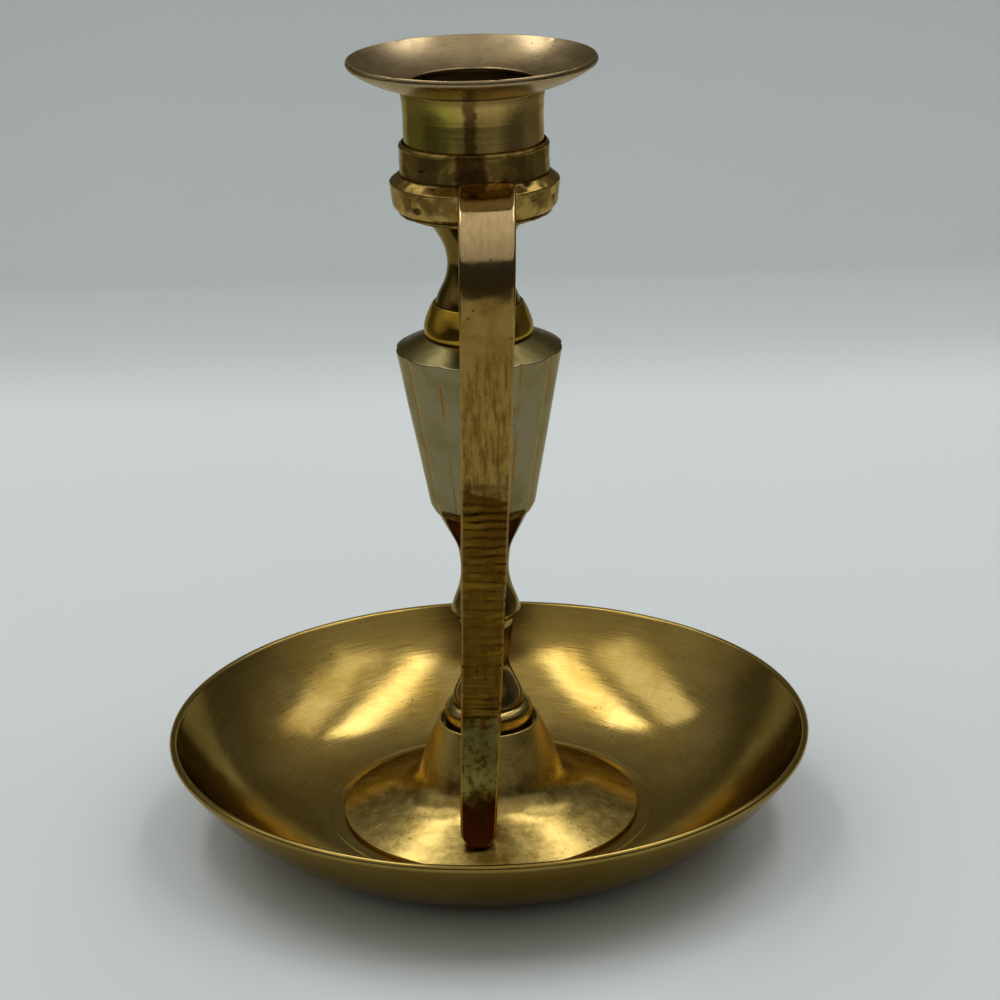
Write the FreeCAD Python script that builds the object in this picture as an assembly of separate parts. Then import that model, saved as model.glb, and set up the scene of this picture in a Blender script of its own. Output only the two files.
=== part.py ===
import FreeCAD, Part
import math
import os

# Brass chamberstick with a finger loop. All sizes are in millimetres.
# The origin is on the stem's axis at table level, +Z is up, and the handle faces -Y.
# The stem is a stack of turned and cast pieces on one tie rod, with its nut under the tray.
# A profile point is written as (radius, height). Heights add up from the table to the lip.

# Tie rod, nut and washer
rod_radius = 2.5
rod_clearance = 0.15
thread_clearance = 0.05
rod_tail = 0.8
nut_across_flats = 8.0
nut_sides = 6
nut_height = 4.0
washer_radius = 5.0
washer_height = 1.0

# Tenons that line the stack up
tenon_depth = 2.0
tenon_clearance = 0.08
tenon_end_gap = 0.2

# Tray
tray_radius = 62.8
tray_height = 21.0
tray_wall = 1.7
tray_wall_arc = 49.5
tray_base_radius = 37.0
tray_floor = 2.3
tray_floor_blend = 35.0
tray_floor_margin = 0.3
nut_well_radius = 7.55
nut_well_top_radius = 6.5
nut_well_depth = 6.4
nut_well_roof = 1.8
nut_well_wall = 1.8

# Foot cone
foot_radius = 29.2
foot_edge = 0.8
foot_height = 17.9
foot_cup_radius = 9.94
foot_cup_lip = 0.54
foot_cup_depth = 1.5
foot_steep_angle = 67.4
foot_flare_angle = 19.0
foot_blend_radius = 8.0
foot_shell = 1.7
foot_web = 3.2

# Base spindle
base_height = 23.3
base_ring_radius = 8.64
base_ring_height = 5.2
base_ring_round = 2.0
base_groove_radius = 6.8
base_flare_radius = 7.1
base_waist_radius = 4.3
base_top_radius = 5.0
base_tenon_radius = 4.6

# Taper under the urn
taper_height = 21.9
taper_top_radius = 8.8
taper_waist_radius = 4.64
taper_bead_radius = 6.76
taper_foot_radius = 5.9
taper_tenon_radius = 3.7

# Fluted urn
urn_height = 34.9
urn_rim_radius = 15.9
urn_foot_radius = 10.3
urn_plate_rise = 2.6
urn_edge = 0.35
urn_bevel_height = 1.9
urn_bevel_width = 1.1
urn_flute_depth = 0.5
urn_flutes = 12
urn_tenon_radius = 5.6

# Knop
knop_height = 6.2
knop_radius = 10.3
knop_top_radius = 8.45
knop_tenon_radius = 6.0

# Neck
neck_height = 17.7
neck_flange_radius = 12.5
neck_flange_height = 1.0
neck_waist_radius = 5.55
neck_foot_radius = 8.0
neck_tenon_radius = 4.2
neck_top_tenon_radius = 5.5
neck_top_tenon_depth = 1.6

# Handle collar
collar_floor = 2.0
collar_height = 12.9
collar_wide_radius = 15.95
collar_wide_height = 5.7
collar_low_radius = 15.5
collar_foot_radius = 13.6
collar_foot_height = 1.7
collar_shoulder = 1.5
collar_narrow_radius = 14.04
collar_corner = 0.8
collar_gap = 0.25

# Handle strap
strap_thickness = 2.5
strap_width_top = 10.5
strap_width_tip = 6.9
strap_root_drop = 5.0
strap_offset_top = 2.2
strap_offset_tip = -2.55
strap_left_bow = 0.35
strap_right_bow = 0.65
strap_edge_radius = 0.55
strap_tip_gap = 0.25
strap_tip_radius = 24.5

# Course of the strap seen from the side. Angles are measured from straight down, outward positive.
strap_root_angle = 75.0
strap_bend_angle = 1.5
strap_inward_angle = -17.3
strap_tip_angle = 24.0
strap_bend_share = 0.135
strap_sweep_share = 0.943
strap_toe_share = 0.815

# Candle socket
socket_height = 26.2
socket_radius = 12.95
socket_floor = 3.0
socket_flare_radius = 13.45
socket_flare_height = 6.2
bore_radius = 11.4
mouth_radius = 12.5
mouth_drop = 4.4
mouth_rounding = 1.1
lip_radius = 23.04
lip_edge = 1.5
lip_dish_sag = 0.5
lip_under_sag = 0.5
cove_drop = 5.5

# Side profiles as (height share, radius share), from the foot up or the top down
neck_low_shares = ((0.0, 1.0), (0.12, 0.70), (0.27, 0.22), (0.44, 0.0))
neck_high_shares = ((0.60, 0.045), (0.75, 0.19), (0.88, 0.39), (1.0, 0.63))
knop_shares = ((0.0, 0.95), (0.18, 1.0), (0.38, 0.92), (0.60, 0.68), (0.82, 0.36), (1.0, 0.0))
taper_shares = ((1.0, 1.0), (0.90, 0.76), (0.776, 0.42), (0.654, 0.14), (0.532, 0.03), (0.43, 0.0),
                (0.338, 0.06), (0.269, 0.15), (0.185, 0.31), (0.114, 0.44))
base_shares = ((0.24, 1.0), (0.295, 0.89), (0.451, 0.32), (0.579, 0.0), (0.747, 0.14))

half_share = 0.5
round_share = 0.3
soft_round_share = 0.13
bead_widest_share = 0.55
full_turn = 360
cutter_overrun = 5.0

# Heights of the joints, from the table up
foot_seat = tray_floor
base_seat = foot_seat + foot_height
taper_seat = base_seat + base_height
urn_seat = taper_seat + taper_height
knop_seat = urn_seat + urn_height
neck_seat = knop_seat + knop_height
collar_seat = neck_seat + neck_height
socket_seat = collar_seat + collar_floor
lip_height = socket_seat + socket_height
rod_hole_radius = rod_radius + rod_clearance
collar_bore_radius = socket_radius + collar_gap
strap_root_radius = (collar_bore_radius + collar_narrow_radius) * half_share


class Outline:
    """A closed outline in the plane of radius and height, drawn edge by edge."""

    def __init__(self, radius, height):
        self.first = FreeCAD.Vector(radius, 0, height)
        self.here = self.first
        self.edges = []

    def add(self, curve, end):
        self.edges.append(curve.toShape())
        self.here = end

    def line(self, radius, height):
        end = FreeCAD.Vector(radius, 0, height)
        self.add(Part.LineSegment(self.here, end), end)

    def arc(self, radius, height, sag):
        """An arc that stands off its chord by sag, to the left of the way it is drawn."""
        end = FreeCAD.Vector(radius, 0, height)
        chord = end - self.here
        left = FreeCAD.Vector(-chord.z, 0, chord.x)
        left.normalize()
        middle = (self.here + end) * half_share + left * sag
        self.add(Part.Arc(self.here, middle, end), end)

    def arc_about(self, centre, radius, height):
        """The shorter arc from here about a known centre."""
        end = FreeCAD.Vector(radius, 0, height)
        towards = (self.here + end) * half_share - centre
        towards.normalize()
        middle = centre + towards * (end - centre).Length
        self.add(Part.Arc(self.here, middle, end), end)

    def spline(self, points):
        """A smooth curve from here through the points."""
        places = [self.here] + [FreeCAD.Vector(radius, 0, height) for radius, height in points]
        curve = Part.BSplineCurve()
        curve.interpolate(places)
        self.add(curve, places[-1])

    def closed_face(self):
        if self.here.distanceToPoint(self.first) > 0:
            self.line(self.first.x, self.first.z)
        return Part.Face(Part.Wire(self.edges))

    def turned(self):
        axis_foot = FreeCAD.Vector(0, 0, 0)
        axis_up = FreeCAD.Vector(0, 0, 1)
        return self.closed_face().revolve(axis_foot, axis_up, full_turn)


def disc(radius, foot, top):
    return Part.makeCylinder(radius, top - foot, FreeCAD.Vector(0, 0, foot))


def point_at_distances(first, first_distance, second, second_distance):
    """The point at two given distances from two points, on the left of the way between them."""
    between = second - first
    span = between.Length
    along = (span ** 2 + first_distance ** 2 - second_distance ** 2) / (2 * span)
    aside = math.sqrt(first_distance ** 2 - along ** 2)
    left = FreeCAD.Vector(-between.z, 0, between.x)
    return first + between * (along / span) + left * (aside / span)


def foot_surface_height(radius):
    """Height of the foot cone's flare over the table at a radius."""
    rise = (foot_radius - radius) * math.tan(math.radians(foot_flare_angle))
    return foot_seat + foot_edge + rise


def largest_floor_blend(centre, inner_arc):
    """Largest blend between wall and floor that leaves the floor flat under the foot's edge."""
    inset = foot_radius + tray_floor_margin - centre.x
    rise = centre.z - tray_floor
    return (inner_arc ** 2 - rise ** 2 - inset ** 2) / (inner_arc - rise) * half_share


def make_tray():
    """Round dish whose curved wall eases into the floor, with a raised well that hides the nut."""
    rim_round = tray_wall * half_share
    rim_centre = FreeCAD.Vector(tray_radius - rim_round, 0, tray_height - rim_round)
    base_corner = FreeCAD.Vector(tray_base_radius, 0, 0)
    centre = point_at_distances(base_corner, tray_wall_arc, rim_centre, tray_wall_arc - rim_round)
    outward = (rim_centre - centre).normalize()
    rim_outer = rim_centre + outward * rim_round
    rim_inner = rim_centre - outward * rim_round
    along_rim = FreeCAD.Vector(-outward.z, 0, outward.x)
    rim_top = rim_centre + along_rim * rim_round
    inner_arc = tray_wall_arc - tray_wall
    blend = min(tray_floor_blend, largest_floor_blend(centre, inner_arc))
    blend_rise = centre.z - tray_floor - blend
    blend_reach = math.sqrt((inner_arc - blend) ** 2 - blend_rise ** 2)
    blend_centre = FreeCAD.Vector(centre.x + blend_reach, 0, tray_floor + blend)
    blend_top = centre + (blend_centre - centre).normalize() * inner_arc

    outline = Outline(nut_well_radius, 0)
    outline.line(tray_base_radius, 0)
    outline.arc_about(centre, rim_outer.x, rim_outer.z)
    outline.add(Part.Arc(rim_outer, rim_top, rim_inner), rim_inner)
    outline.arc_about(centre, blend_top.x, blend_top.z)
    outline.arc_about(blend_centre, blend_centre.x, tray_floor)
    outline.line(nut_well_radius + nut_well_wall, tray_floor)
    outline.line(nut_well_top_radius + nut_well_wall, nut_well_depth + nut_well_roof)
    outline.line(rod_hole_radius, nut_well_depth + nut_well_roof)
    outline.line(rod_hole_radius, nut_well_depth)
    outline.line(nut_well_top_radius, nut_well_depth)
    return outline.turned()


def foot_blend():
    """Ends and centre of the arc between the foot cone's steep side and its flare."""
    steep = math.radians(foot_steep_angle)
    flare = math.radians(foot_flare_angle)
    rim_height = base_seat + foot_cup_depth
    edge_height = foot_seat + foot_edge
    steep_reach = rim_height - edge_height - (foot_radius - foot_cup_radius) * math.tan(flare)
    meet_radius = foot_cup_radius + steep_reach / (math.tan(steep) - math.tan(flare))
    meet_height = rim_height - (meet_radius - foot_cup_radius) * math.tan(steep)
    tangent = foot_blend_radius * math.tan((steep - flare) * half_share)
    upper = (meet_radius - tangent * math.cos(steep), meet_height + tangent * math.sin(steep))
    lower = (meet_radius + tangent * math.cos(flare), meet_height - tangent * math.sin(flare))
    centre_radius = upper[0] + foot_blend_radius * math.sin(steep)
    centre_height = upper[1] + foot_blend_radius * math.cos(steep)
    return upper, lower, FreeCAD.Vector(centre_radius, 0, centre_height)


def foot_envelope(growth):
    """The foot cone's outer form as a full body, grown upward by a clearance."""
    upper, lower, centre = foot_blend()
    outline = Outline(0, foot_seat)
    outline.line(foot_radius, foot_seat)
    outline.line(foot_radius, foot_seat + foot_edge + growth)
    outline.line(lower[0], lower[1] + growth)
    outline.arc_about(centre + FreeCAD.Vector(0, 0, growth), upper[0], upper[1] + growth)
    outline.line(foot_cup_radius, base_seat + foot_cup_depth + growth)
    outline.line(0, base_seat + foot_cup_depth + growth)
    return outline.turned()


def make_foot_cone():
    """Hollow bell that stands on the tray floor, with a shallow cup on top."""
    upper, lower, centre = foot_blend()
    steep = math.radians(foot_steep_angle)
    flare = math.radians(foot_flare_angle)
    hollow_top = base_seat - foot_web
    inner_lower = (lower[0] - foot_shell * math.sin(flare), lower[1] - foot_shell * math.cos(flare))
    inner_upper = (upper[0] - foot_shell * math.sin(steep), upper[1] - foot_shell * math.cos(steep))
    inner_edge_radius = inner_lower[0] + (inner_lower[1] - foot_seat) / math.tan(flare)
    hollow_top_radius = inner_upper[0] - (hollow_top - inner_upper[1]) / math.tan(steep)

    hollow = Outline(0, foot_seat)
    hollow.line(inner_edge_radius, foot_seat)
    hollow.line(inner_lower[0], inner_lower[1])
    hollow.arc_about(centre, inner_upper[0], inner_upper[1])
    hollow.line(hollow_top_radius, hollow_top)
    hollow.line(0, hollow_top)

    cone = foot_envelope(0).cut(hollow.turned())
    cup = disc(foot_cup_radius - foot_cup_lip, base_seat, base_seat + foot_cup_depth + cutter_overrun)
    tenon_recess = disc(base_tenon_radius + tenon_clearance, base_seat - tenon_depth - tenon_end_gap, base_seat)
    rod_hole = disc(rod_hole_radius, foot_seat, base_seat)
    return cone.cut(cup).cut(tenon_recess).cut(rod_hole)


def side_points(foot, height, small, large, shares):
    """Points of a turned side, from a table of (height share, radius share)."""
    return [(small + (large - small) * across, foot + height * up) for up, across in shares]


def with_tenon_below(piece, tenon_radius, seat):
    tenon = disc(tenon_radius, seat - tenon_depth, seat)
    return piece.fuse(tenon).removeSplitter()


def with_tenon_recess(piece, tenon_radius, seat, depth):
    return piece.cut(disc(tenon_radius + tenon_clearance, seat - depth - tenon_end_gap, seat))


def drilled_for_rod(piece, foot, top):
    return piece.cut(disc(rod_hole_radius, foot - cutter_overrun, top + cutter_overrun))


def make_base_spindle():
    """Lower spindle: a ring that sits in the foot's cup, a groove and a slim waist."""
    ring_top = base_seat + base_ring_height
    outline = Outline(0, base_seat)
    outline.line(base_ring_radius, base_seat)
    outline.line(base_ring_radius, ring_top - base_ring_round)
    outline.arc(base_groove_radius, ring_top, -base_ring_round * round_share)
    points = side_points(base_seat, base_height, base_waist_radius, base_flare_radius, base_shares)
    outline.line(*points[0])
    outline.spline(points[1:] + [(base_top_radius, taper_seat)])
    outline.line(0, taper_seat)
    piece = with_tenon_below(outline.turned(), base_tenon_radius, base_seat)
    piece = with_tenon_recess(piece, taper_tenon_radius, taper_seat, tenon_depth)
    return drilled_for_rod(piece, base_seat, taper_seat)


def make_taper():
    """Trumpet under the urn, ending in a small bead."""
    outline = Outline(0, urn_seat)
    points = side_points(taper_seat, taper_height, taper_waist_radius, taper_top_radius, taper_shares)
    outline.line(*points[0])
    outline.spline(points[1:])
    bead_rise = outline.here.z - taper_seat
    outline.line(taper_bead_radius, taper_seat + bead_rise * bead_widest_share)
    outline.arc(taper_foot_radius, taper_seat, -bead_rise * soft_round_share)
    outline.line(0, taper_seat)
    piece = with_tenon_below(outline.turned(), taper_tenon_radius, taper_seat)
    tenon = disc(urn_tenon_radius, urn_seat, urn_seat + tenon_depth)
    piece = piece.fuse(tenon).removeSplitter()
    return drilled_for_rod(piece, taper_seat, urn_seat)


def fluted_section(crest_radius, flute_depth, height):
    """Closed section of convex lobes that meet in sharp grooves."""
    edges = []
    lobe_angle = 2 * math.pi / urn_flutes
    groove_radius = crest_radius - flute_depth

    def place(radius, angle):
        return FreeCAD.Vector(radius * math.sin(angle), -radius * math.cos(angle), height)

    for lobe in range(urn_flutes):
        start = lobe * lobe_angle
        middle = start + lobe_angle * half_share
        end = start + lobe_angle
        curve = Part.Arc(place(groove_radius, start), place(crest_radius, middle), place(groove_radius, end))
        edges.append(curve.toShape())
    return Part.Wire(edges)


def make_urn():
    """Tapered urn of twelve lobes, with a shallow conical top plate and a bevelled foot."""
    plate_foot = knop_seat - urn_plate_rise
    bevel_top = urn_seat + urn_bevel_height
    spread = (urn_rim_radius - urn_foot_radius) / (plate_foot - bevel_top)
    top_crest = urn_rim_radius + spread * urn_plate_rise
    foot_crest = urn_foot_radius - spread * urn_bevel_height
    foot_flute = urn_flute_depth * foot_crest / top_crest
    lobes = Part.makeLoft([fluted_section(foot_crest, foot_flute, urn_seat),
                           fluted_section(top_crest, urn_flute_depth, knop_seat)], True, True)

    plate_slope = urn_plate_rise / (urn_rim_radius - knop_radius)
    outline = Outline(0, urn_seat)
    outline.line(urn_foot_radius - urn_bevel_width, urn_seat)
    outline.line(urn_foot_radius + urn_bevel_width, bevel_top + urn_bevel_height)
    outline.line(urn_rim_radius + urn_edge, bevel_top + urn_bevel_height)
    outline.line(urn_rim_radius + urn_edge, plate_foot - urn_edge)
    outline.line(urn_rim_radius - urn_edge, plate_foot + urn_edge * plate_slope)
    outline.line(knop_radius, knop_seat)
    outline.line(0, knop_seat)
    piece = lobes.common(outline.turned())
    piece = with_tenon_recess(piece, knop_tenon_radius, knop_seat, tenon_depth)
    foot_recess_top = urn_seat + tenon_depth + tenon_end_gap
    piece = piece.cut(disc(urn_tenon_radius + tenon_clearance, urn_seat, foot_recess_top))
    return drilled_for_rod(piece, urn_seat, knop_seat)


def make_knop():
    """Rounded knop between the urn and the neck."""
    outline = Outline(0, knop_seat)
    points = side_points(knop_seat, knop_height, knop_top_radius, knop_radius, knop_shares)
    outline.line(*points[0])
    outline.spline(points[1:])
    outline.line(0, neck_seat)
    piece = with_tenon_below(outline.turned(), knop_tenon_radius, knop_seat)
    piece = with_tenon_recess(piece, neck_tenon_radius, neck_seat, tenon_depth)
    return drilled_for_rod(piece, knop_seat, neck_seat)


def make_neck():
    """Slim neck that opens into the flange under the collar."""
    outline = Outline(0, neck_seat)
    flange_foot = collar_seat - neck_flange_height
    side_height = flange_foot - neck_seat
    low = side_points(neck_seat, side_height, neck_waist_radius, neck_foot_radius, neck_low_shares)
    high = side_points(neck_seat, side_height, neck_waist_radius, neck_flange_radius, neck_high_shares)
    points = low + high
    outline.line(*points[0])
    outline.spline(points[1:])
    outline.line(neck_flange_radius, flange_foot)
    outline.line(neck_flange_radius, collar_seat)
    outline.line(0, collar_seat)
    piece = with_tenon_below(outline.turned(), neck_tenon_radius, neck_seat)
    tenon = disc(neck_top_tenon_radius, collar_seat, collar_seat + neck_top_tenon_depth)
    piece = piece.fuse(tenon).removeSplitter()
    return drilled_for_rod(piece, neck_seat, collar_seat)


def make_collar():
    """Outer form of the handle's collar: wide band, shoulder and narrow band."""
    top = collar_seat + collar_height
    band_top = collar_seat + collar_wide_height
    outline = Outline(0, collar_seat)
    outline.line(collar_foot_radius, collar_seat)
    outline.arc(collar_low_radius, collar_seat + collar_foot_height, -collar_foot_height * round_share)
    outline.line(collar_wide_radius, band_top)
    outline.line(collar_narrow_radius, band_top + collar_shoulder)
    outline.line(collar_narrow_radius, top - collar_corner)
    outline.arc(collar_narrow_radius - collar_corner, top, -collar_corner * round_share)
    outline.line(0, top)
    return outline.turned()


def strap_facing(angle):
    """Way out of the strap's outer face, where the strap runs at an angle from straight down."""
    turn = math.radians(angle)
    return FreeCAD.Vector(0, -math.cos(turn), math.sin(turn))


def strap_side_face():
    """Side outline of the strap: three tangent arcs outside, and the same arcs one thickness in."""
    root_height = collar_seat + collar_height - strap_root_drop
    drop = root_height - foot_surface_height(strap_tip_radius)
    courses = [(strap_root_angle, strap_bend_angle, strap_bend_share * drop),
               (strap_bend_angle, strap_inward_angle, strap_sweep_share * drop),
               (strap_inward_angle, strap_tip_angle, strap_toe_share * drop)]
    here = FreeCAD.Vector(0, -strap_root_radius, root_height)
    outer = []
    inner = []
    inner_ends = []
    for first_angle, last_angle, bend_radius in courses:
        side = 1 if last_angle < first_angle else -1
        centre = here - strap_facing(first_angle) * (side * bend_radius)
        outer_points = []
        inner_points = []
        for angle in (first_angle, (first_angle + last_angle) * half_share, last_angle):
            facing = strap_facing(angle) * side
            outer_points.append(centre + facing * bend_radius)
            inner_points.append(centre + facing * (bend_radius - side * strap_thickness))
        outer.append(Part.Arc(*outer_points).toShape())
        inner.append(Part.Arc(*reversed(inner_points)).toShape())
        inner_ends += [inner_points[0], inner_points[-1]]
        here = outer_points[-1]
    root_outer = FreeCAD.Vector(0, -strap_root_radius, root_height)
    tip_edge = Part.LineSegment(here, inner_ends[-1]).toShape()
    root_edge = Part.LineSegment(inner_ends[0], root_outer).toShape()
    return Part.Face(Part.Wire(outer + [tip_edge] + inner[::-1] + [root_edge]))


def strap_front_face():
    """Front outline of the strap: it narrows, leans and bows to one side, and ends in a round tip."""
    top = collar_seat + collar_height
    tip_round = strap_width_tip * half_share
    tip_foot = foot_surface_height(strap_tip_radius) + strap_tip_gap
    tip_centre = tip_foot + tip_round
    half_top = strap_width_top * half_share

    def place(across, height):
        return FreeCAD.Vector(across, 0, height)

    left_tip = place(strap_offset_tip - tip_round, tip_centre)
    right_tip = place(strap_offset_tip + tip_round, tip_centre)
    left_top = place(strap_offset_top - half_top, top)
    right_top = place(strap_offset_top + half_top, top)

    def bowed(first, last, bow):
        middle = (first + last) * half_share + FreeCAD.Vector(bow, 0, 0)
        curve = Part.BSplineCurve()
        curve.interpolate([first, middle, last])
        return curve.toShape()

    edges = [bowed(left_tip, left_top, strap_left_bow), Part.LineSegment(left_top, right_top).toShape(),
             bowed(right_top, right_tip, strap_right_bow),
             Part.Arc(right_tip, place(strap_offset_tip, tip_foot), left_tip).toShape()]
    return Part.Face(Part.Wire(edges))


def make_strap():
    """Strap of the finger loop, from the collar out and down to the foot cone."""
    reach = strap_width_top + abs(strap_offset_top) + abs(strap_offset_tip)
    side = strap_side_face()
    side.translate(FreeCAD.Vector(-reach, 0, 0))
    slab = side.extrude(FreeCAD.Vector(reach + reach, 0, 0))
    front = strap_front_face()
    front_prism = front.extrude(FreeCAD.Vector(0, -tray_radius, 0))
    strap = slab.common(front_prism).Solids[0]
    long_edges = [edge for edge in strap.Edges if edge.Length > strap_width_top + strap_thickness]
    return strap.makeFillet(strap_edge_radius, long_edges)


def make_handle():
    """One casting: the collar that the socket sits in, and the strap of the finger loop."""
    strap = make_strap().cut(foot_envelope(strap_tip_gap))
    casting = make_collar().fuse(strap)
    top = collar_seat + collar_height
    casting = casting.cut(disc(collar_bore_radius, socket_seat, top + cutter_overrun))
    tenon_hole = disc(neck_top_tenon_radius + tenon_clearance, collar_seat - cutter_overrun, socket_seat)
    return casting.cut(tenon_hole)


def make_socket():
    """Turned candle socket with a flared drip lip, a smooth bore and a tapped floor."""
    mouth_height = lip_height - mouth_drop
    cove_height = lip_height - cove_drop
    lip_low = lip_height - lip_edge
    edge_round = lip_edge * half_share
    outline = Outline(0, socket_seat)
    outline.line(socket_radius, socket_seat)
    outline.line(socket_radius, cove_height - socket_flare_height)
    outline.arc(socket_flare_radius, cove_height, lip_under_sag * round_share)
    outline.arc(lip_radius - edge_round * half_share, lip_low, -lip_under_sag)
    outline.arc(lip_radius - edge_round * half_share, lip_height, -edge_round * half_share)
    outline.arc(mouth_radius, mouth_height, lip_dish_sag)
    outline.arc(bore_radius, mouth_height - mouth_rounding, -mouth_rounding * round_share)
    outline.line(bore_radius, socket_seat + socket_floor)
    outline.line(0, socket_seat + socket_floor)
    tapped_hole = disc(rod_radius + thread_clearance, socket_seat, socket_seat + socket_floor)
    return outline.turned().cut(tapped_hole)


def make_rod():
    """Threaded tie rod from the nut under the tray to the socket's floor."""
    foot = nut_well_depth - washer_height - nut_height - rod_tail
    return disc(rod_radius, foot, socket_seat + socket_floor)


def make_washer():
    foot = nut_well_depth - washer_height
    return disc(washer_radius, foot, nut_well_depth).cut(disc(rod_hole_radius, foot, nut_well_depth))


def make_nut():
    """Hexagon nut, tapped for the tie rod."""
    foot = nut_well_depth - washer_height - nut_height
    side_angle = 2 * math.pi / nut_sides
    corner_radius = nut_across_flats * half_share / math.cos(side_angle * half_share)
    corners = []
    for corner in range(nut_sides + 1):
        angle = corner * side_angle
        corners.append(FreeCAD.Vector(corner_radius * math.cos(angle), corner_radius * math.sin(angle), foot))
    hexagon = Part.Face(Part.makePolygon(corners)).extrude(FreeCAD.Vector(0, 0, nut_height))
    return hexagon.cut(disc(rod_radius + thread_clearance, foot, foot + nut_height))


pieces = {
    "tray": make_tray,
    "foot_cone": make_foot_cone,
    "base_spindle": make_base_spindle,
    "taper": make_taper,
    "fluted_urn": make_urn,
    "knop": make_knop,
    "neck": make_neck,
    "handle": make_handle,
    "candle_socket": make_socket,
    "tie_rod": make_rod,
    "tie_washer": make_washer,
    "tie_nut": make_nut,
}

os.makedirs("parts", exist_ok=True)
for name, make in pieces.items():
    shape = make()
    shape.exportStep(os.path.join("parts", name + ".step"))
    print(name, "solids", len(shape.Solids), "valid", shape.isValid(), "volume", round(shape.Volume))
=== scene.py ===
"""A worn brass chamberstick with a finger loop, on a pale table under four ceiling lights.

Turned pieces take their outlines from sections of the CAD nodes, get small rounds on every corner and are
spun again with the marks of spinning, casting and use. The urn's lobes and the strap are drawn from their
sizes. Lengths are written in millimetres times mm, in the CAD frame. Places, heights and radii inside a
material are plain millimetres.
"""
import math

import bmesh
import bpy
from mathutils import Matrix, Vector, noise


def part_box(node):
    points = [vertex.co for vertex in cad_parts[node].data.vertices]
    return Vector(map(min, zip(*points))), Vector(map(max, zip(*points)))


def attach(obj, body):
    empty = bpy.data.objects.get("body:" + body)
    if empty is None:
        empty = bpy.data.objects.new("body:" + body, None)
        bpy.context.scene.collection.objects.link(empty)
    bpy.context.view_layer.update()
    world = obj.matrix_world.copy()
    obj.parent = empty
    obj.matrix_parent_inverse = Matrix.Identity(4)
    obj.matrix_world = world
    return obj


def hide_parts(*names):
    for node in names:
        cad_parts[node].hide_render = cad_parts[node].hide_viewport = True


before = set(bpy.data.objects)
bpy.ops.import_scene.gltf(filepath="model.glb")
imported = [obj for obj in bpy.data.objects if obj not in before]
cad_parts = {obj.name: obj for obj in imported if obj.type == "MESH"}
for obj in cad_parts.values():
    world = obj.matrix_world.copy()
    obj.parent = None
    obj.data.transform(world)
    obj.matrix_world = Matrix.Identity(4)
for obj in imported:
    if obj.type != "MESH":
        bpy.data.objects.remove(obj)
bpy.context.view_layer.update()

mm = 0.001
per_metre = 1000.0
origin = Vector((0, 0, 0))

# How finely the pieces are drawn
weld_distance = 0.001 * mm
cut_distance = 0.0005 * mm
double_distance = 0.002 * mm
curve_parts = 8
corner_turn = math.radians(14)
sharpest_turn = math.radians(70)
corner_points = 5
corner_share = 0.4
largest_trim = 0.9
near_corner = 0.3

# Camera, fitted to the photograph
camera_place = Vector((0, -496.06 * mm, 246.0 * mm))
camera_pitch = 0.3466
camera_yaw = 0.0065
camera_roll = -0.0241
camera_lens = 99.17
camera_sensor = 36.0

# Table and wall
table_reach = 320 * mm
table_front = -460 * mm
table_back = 320 * mm
cove_radius = 20 * mm
cove_parts = 12
wall_height = 115 * mm
wall_tone_height = 16.0
table_colour = (0.655, 0.69, 0.655)
wall_colour = (0.83, 0.875, 0.855)

# Ceiling lights: long strips that run away from the camera, two bright ones between two dim ones
ceiling = 1500 * mm
lamp_colour = (0.96, 0.985, 1.08)
strip_near = -420 * mm
strip_far = 1200 * mm
inner_strip_x = 500 * mm
inner_strip_width = 230 * mm
inner_strip_watts = 5.0
outer_strip_x = 1080 * mm
outer_strip_width = 520 * mm
outer_strip_watts = 3.5
# Brightness of the room by the sine of the elevation: a pale ceiling, a dark room behind the camera
room_front = ((0.0, 0.12), (0.10, 0.09), (0.42, 0.14), (0.62, 0.31), (0.86, 0.62), (1.0, 0.72))
room_behind = ((0.0, 0.05), (0.06, 0.04), (0.33, 0.04), (0.38, 0.36), (0.86, 0.66), (1.0, 0.72))
room_blend = 0.15
window_direction = (-0.94, 0.10, 0.33)
window_spread = 0.90
window_brightness = 0.28

# Tray. Its wall gets wavy above the floor, and close to the table and to the rim only hollows stay
tray_wall_start = 6 * mm
tray_wall_wear = 0.1 * mm
tray_ring_drift = 4 * mm
tray_edge_band = 0.4 * mm
tray_edge_share = 0.4
# Dents and pits: centre, radius and depth in millimetres
tray_dents = (
    ((38, -47, 13), 3.0, 0.10),
    ((-30, 46, 12), 4.5, 0.14),
    ((-47, -28, 10), 5.0, 0.10),
    ((20, -50, 10), 1.4, 0.10),
)
collar_pits = (
    ((-9.5, -12.9, 134.2), 0.85, 0.45),
    ((9.2, -12.9, 132.2), 1.1, 0.5),
    ((-13.6, -6.5, 133.4), 0.9, 0.4),
    ((13.9, -6.0, 128.0), 0.8, 0.3),
    ((-11.0, -11.4, 127.0), 0.7, 0.3),
    ((6, 14.4, 129.0), 0.9, 0.4),
    ((-8, 13.2, 133.0), 0.8, 0.4),
)

# Socket: nicks in the lip's edge as (angle in radians, half width in millimetres)
lip_nicks = ((4.05, 0.5), (4.9, 0.4), (5.6, 0.6), (0.8, 0.5), (2.2, 0.7), (3.3, 0.4))
lip_nick_depth = 0.12 * mm
lip_edge_inner = 21.2 * mm
lip_edge_outer = 22.8 * mm
lip_top_band = 0.1 * mm

# How much of each surface is worn away
foot_wear = 0.035 * mm
spindle_wear = 0.03 * mm
socket_wear = 0.05 * mm
urn_wear = 0.04 * mm
collar_wear = 0.24 * mm
strap_wear = 0.03 * mm
# Radii between which the rough skin of a casting sets in
collar_skin = (13.3 * mm, 13.7 * mm)
urn_skin = (6 * mm, 9 * mm)

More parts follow.
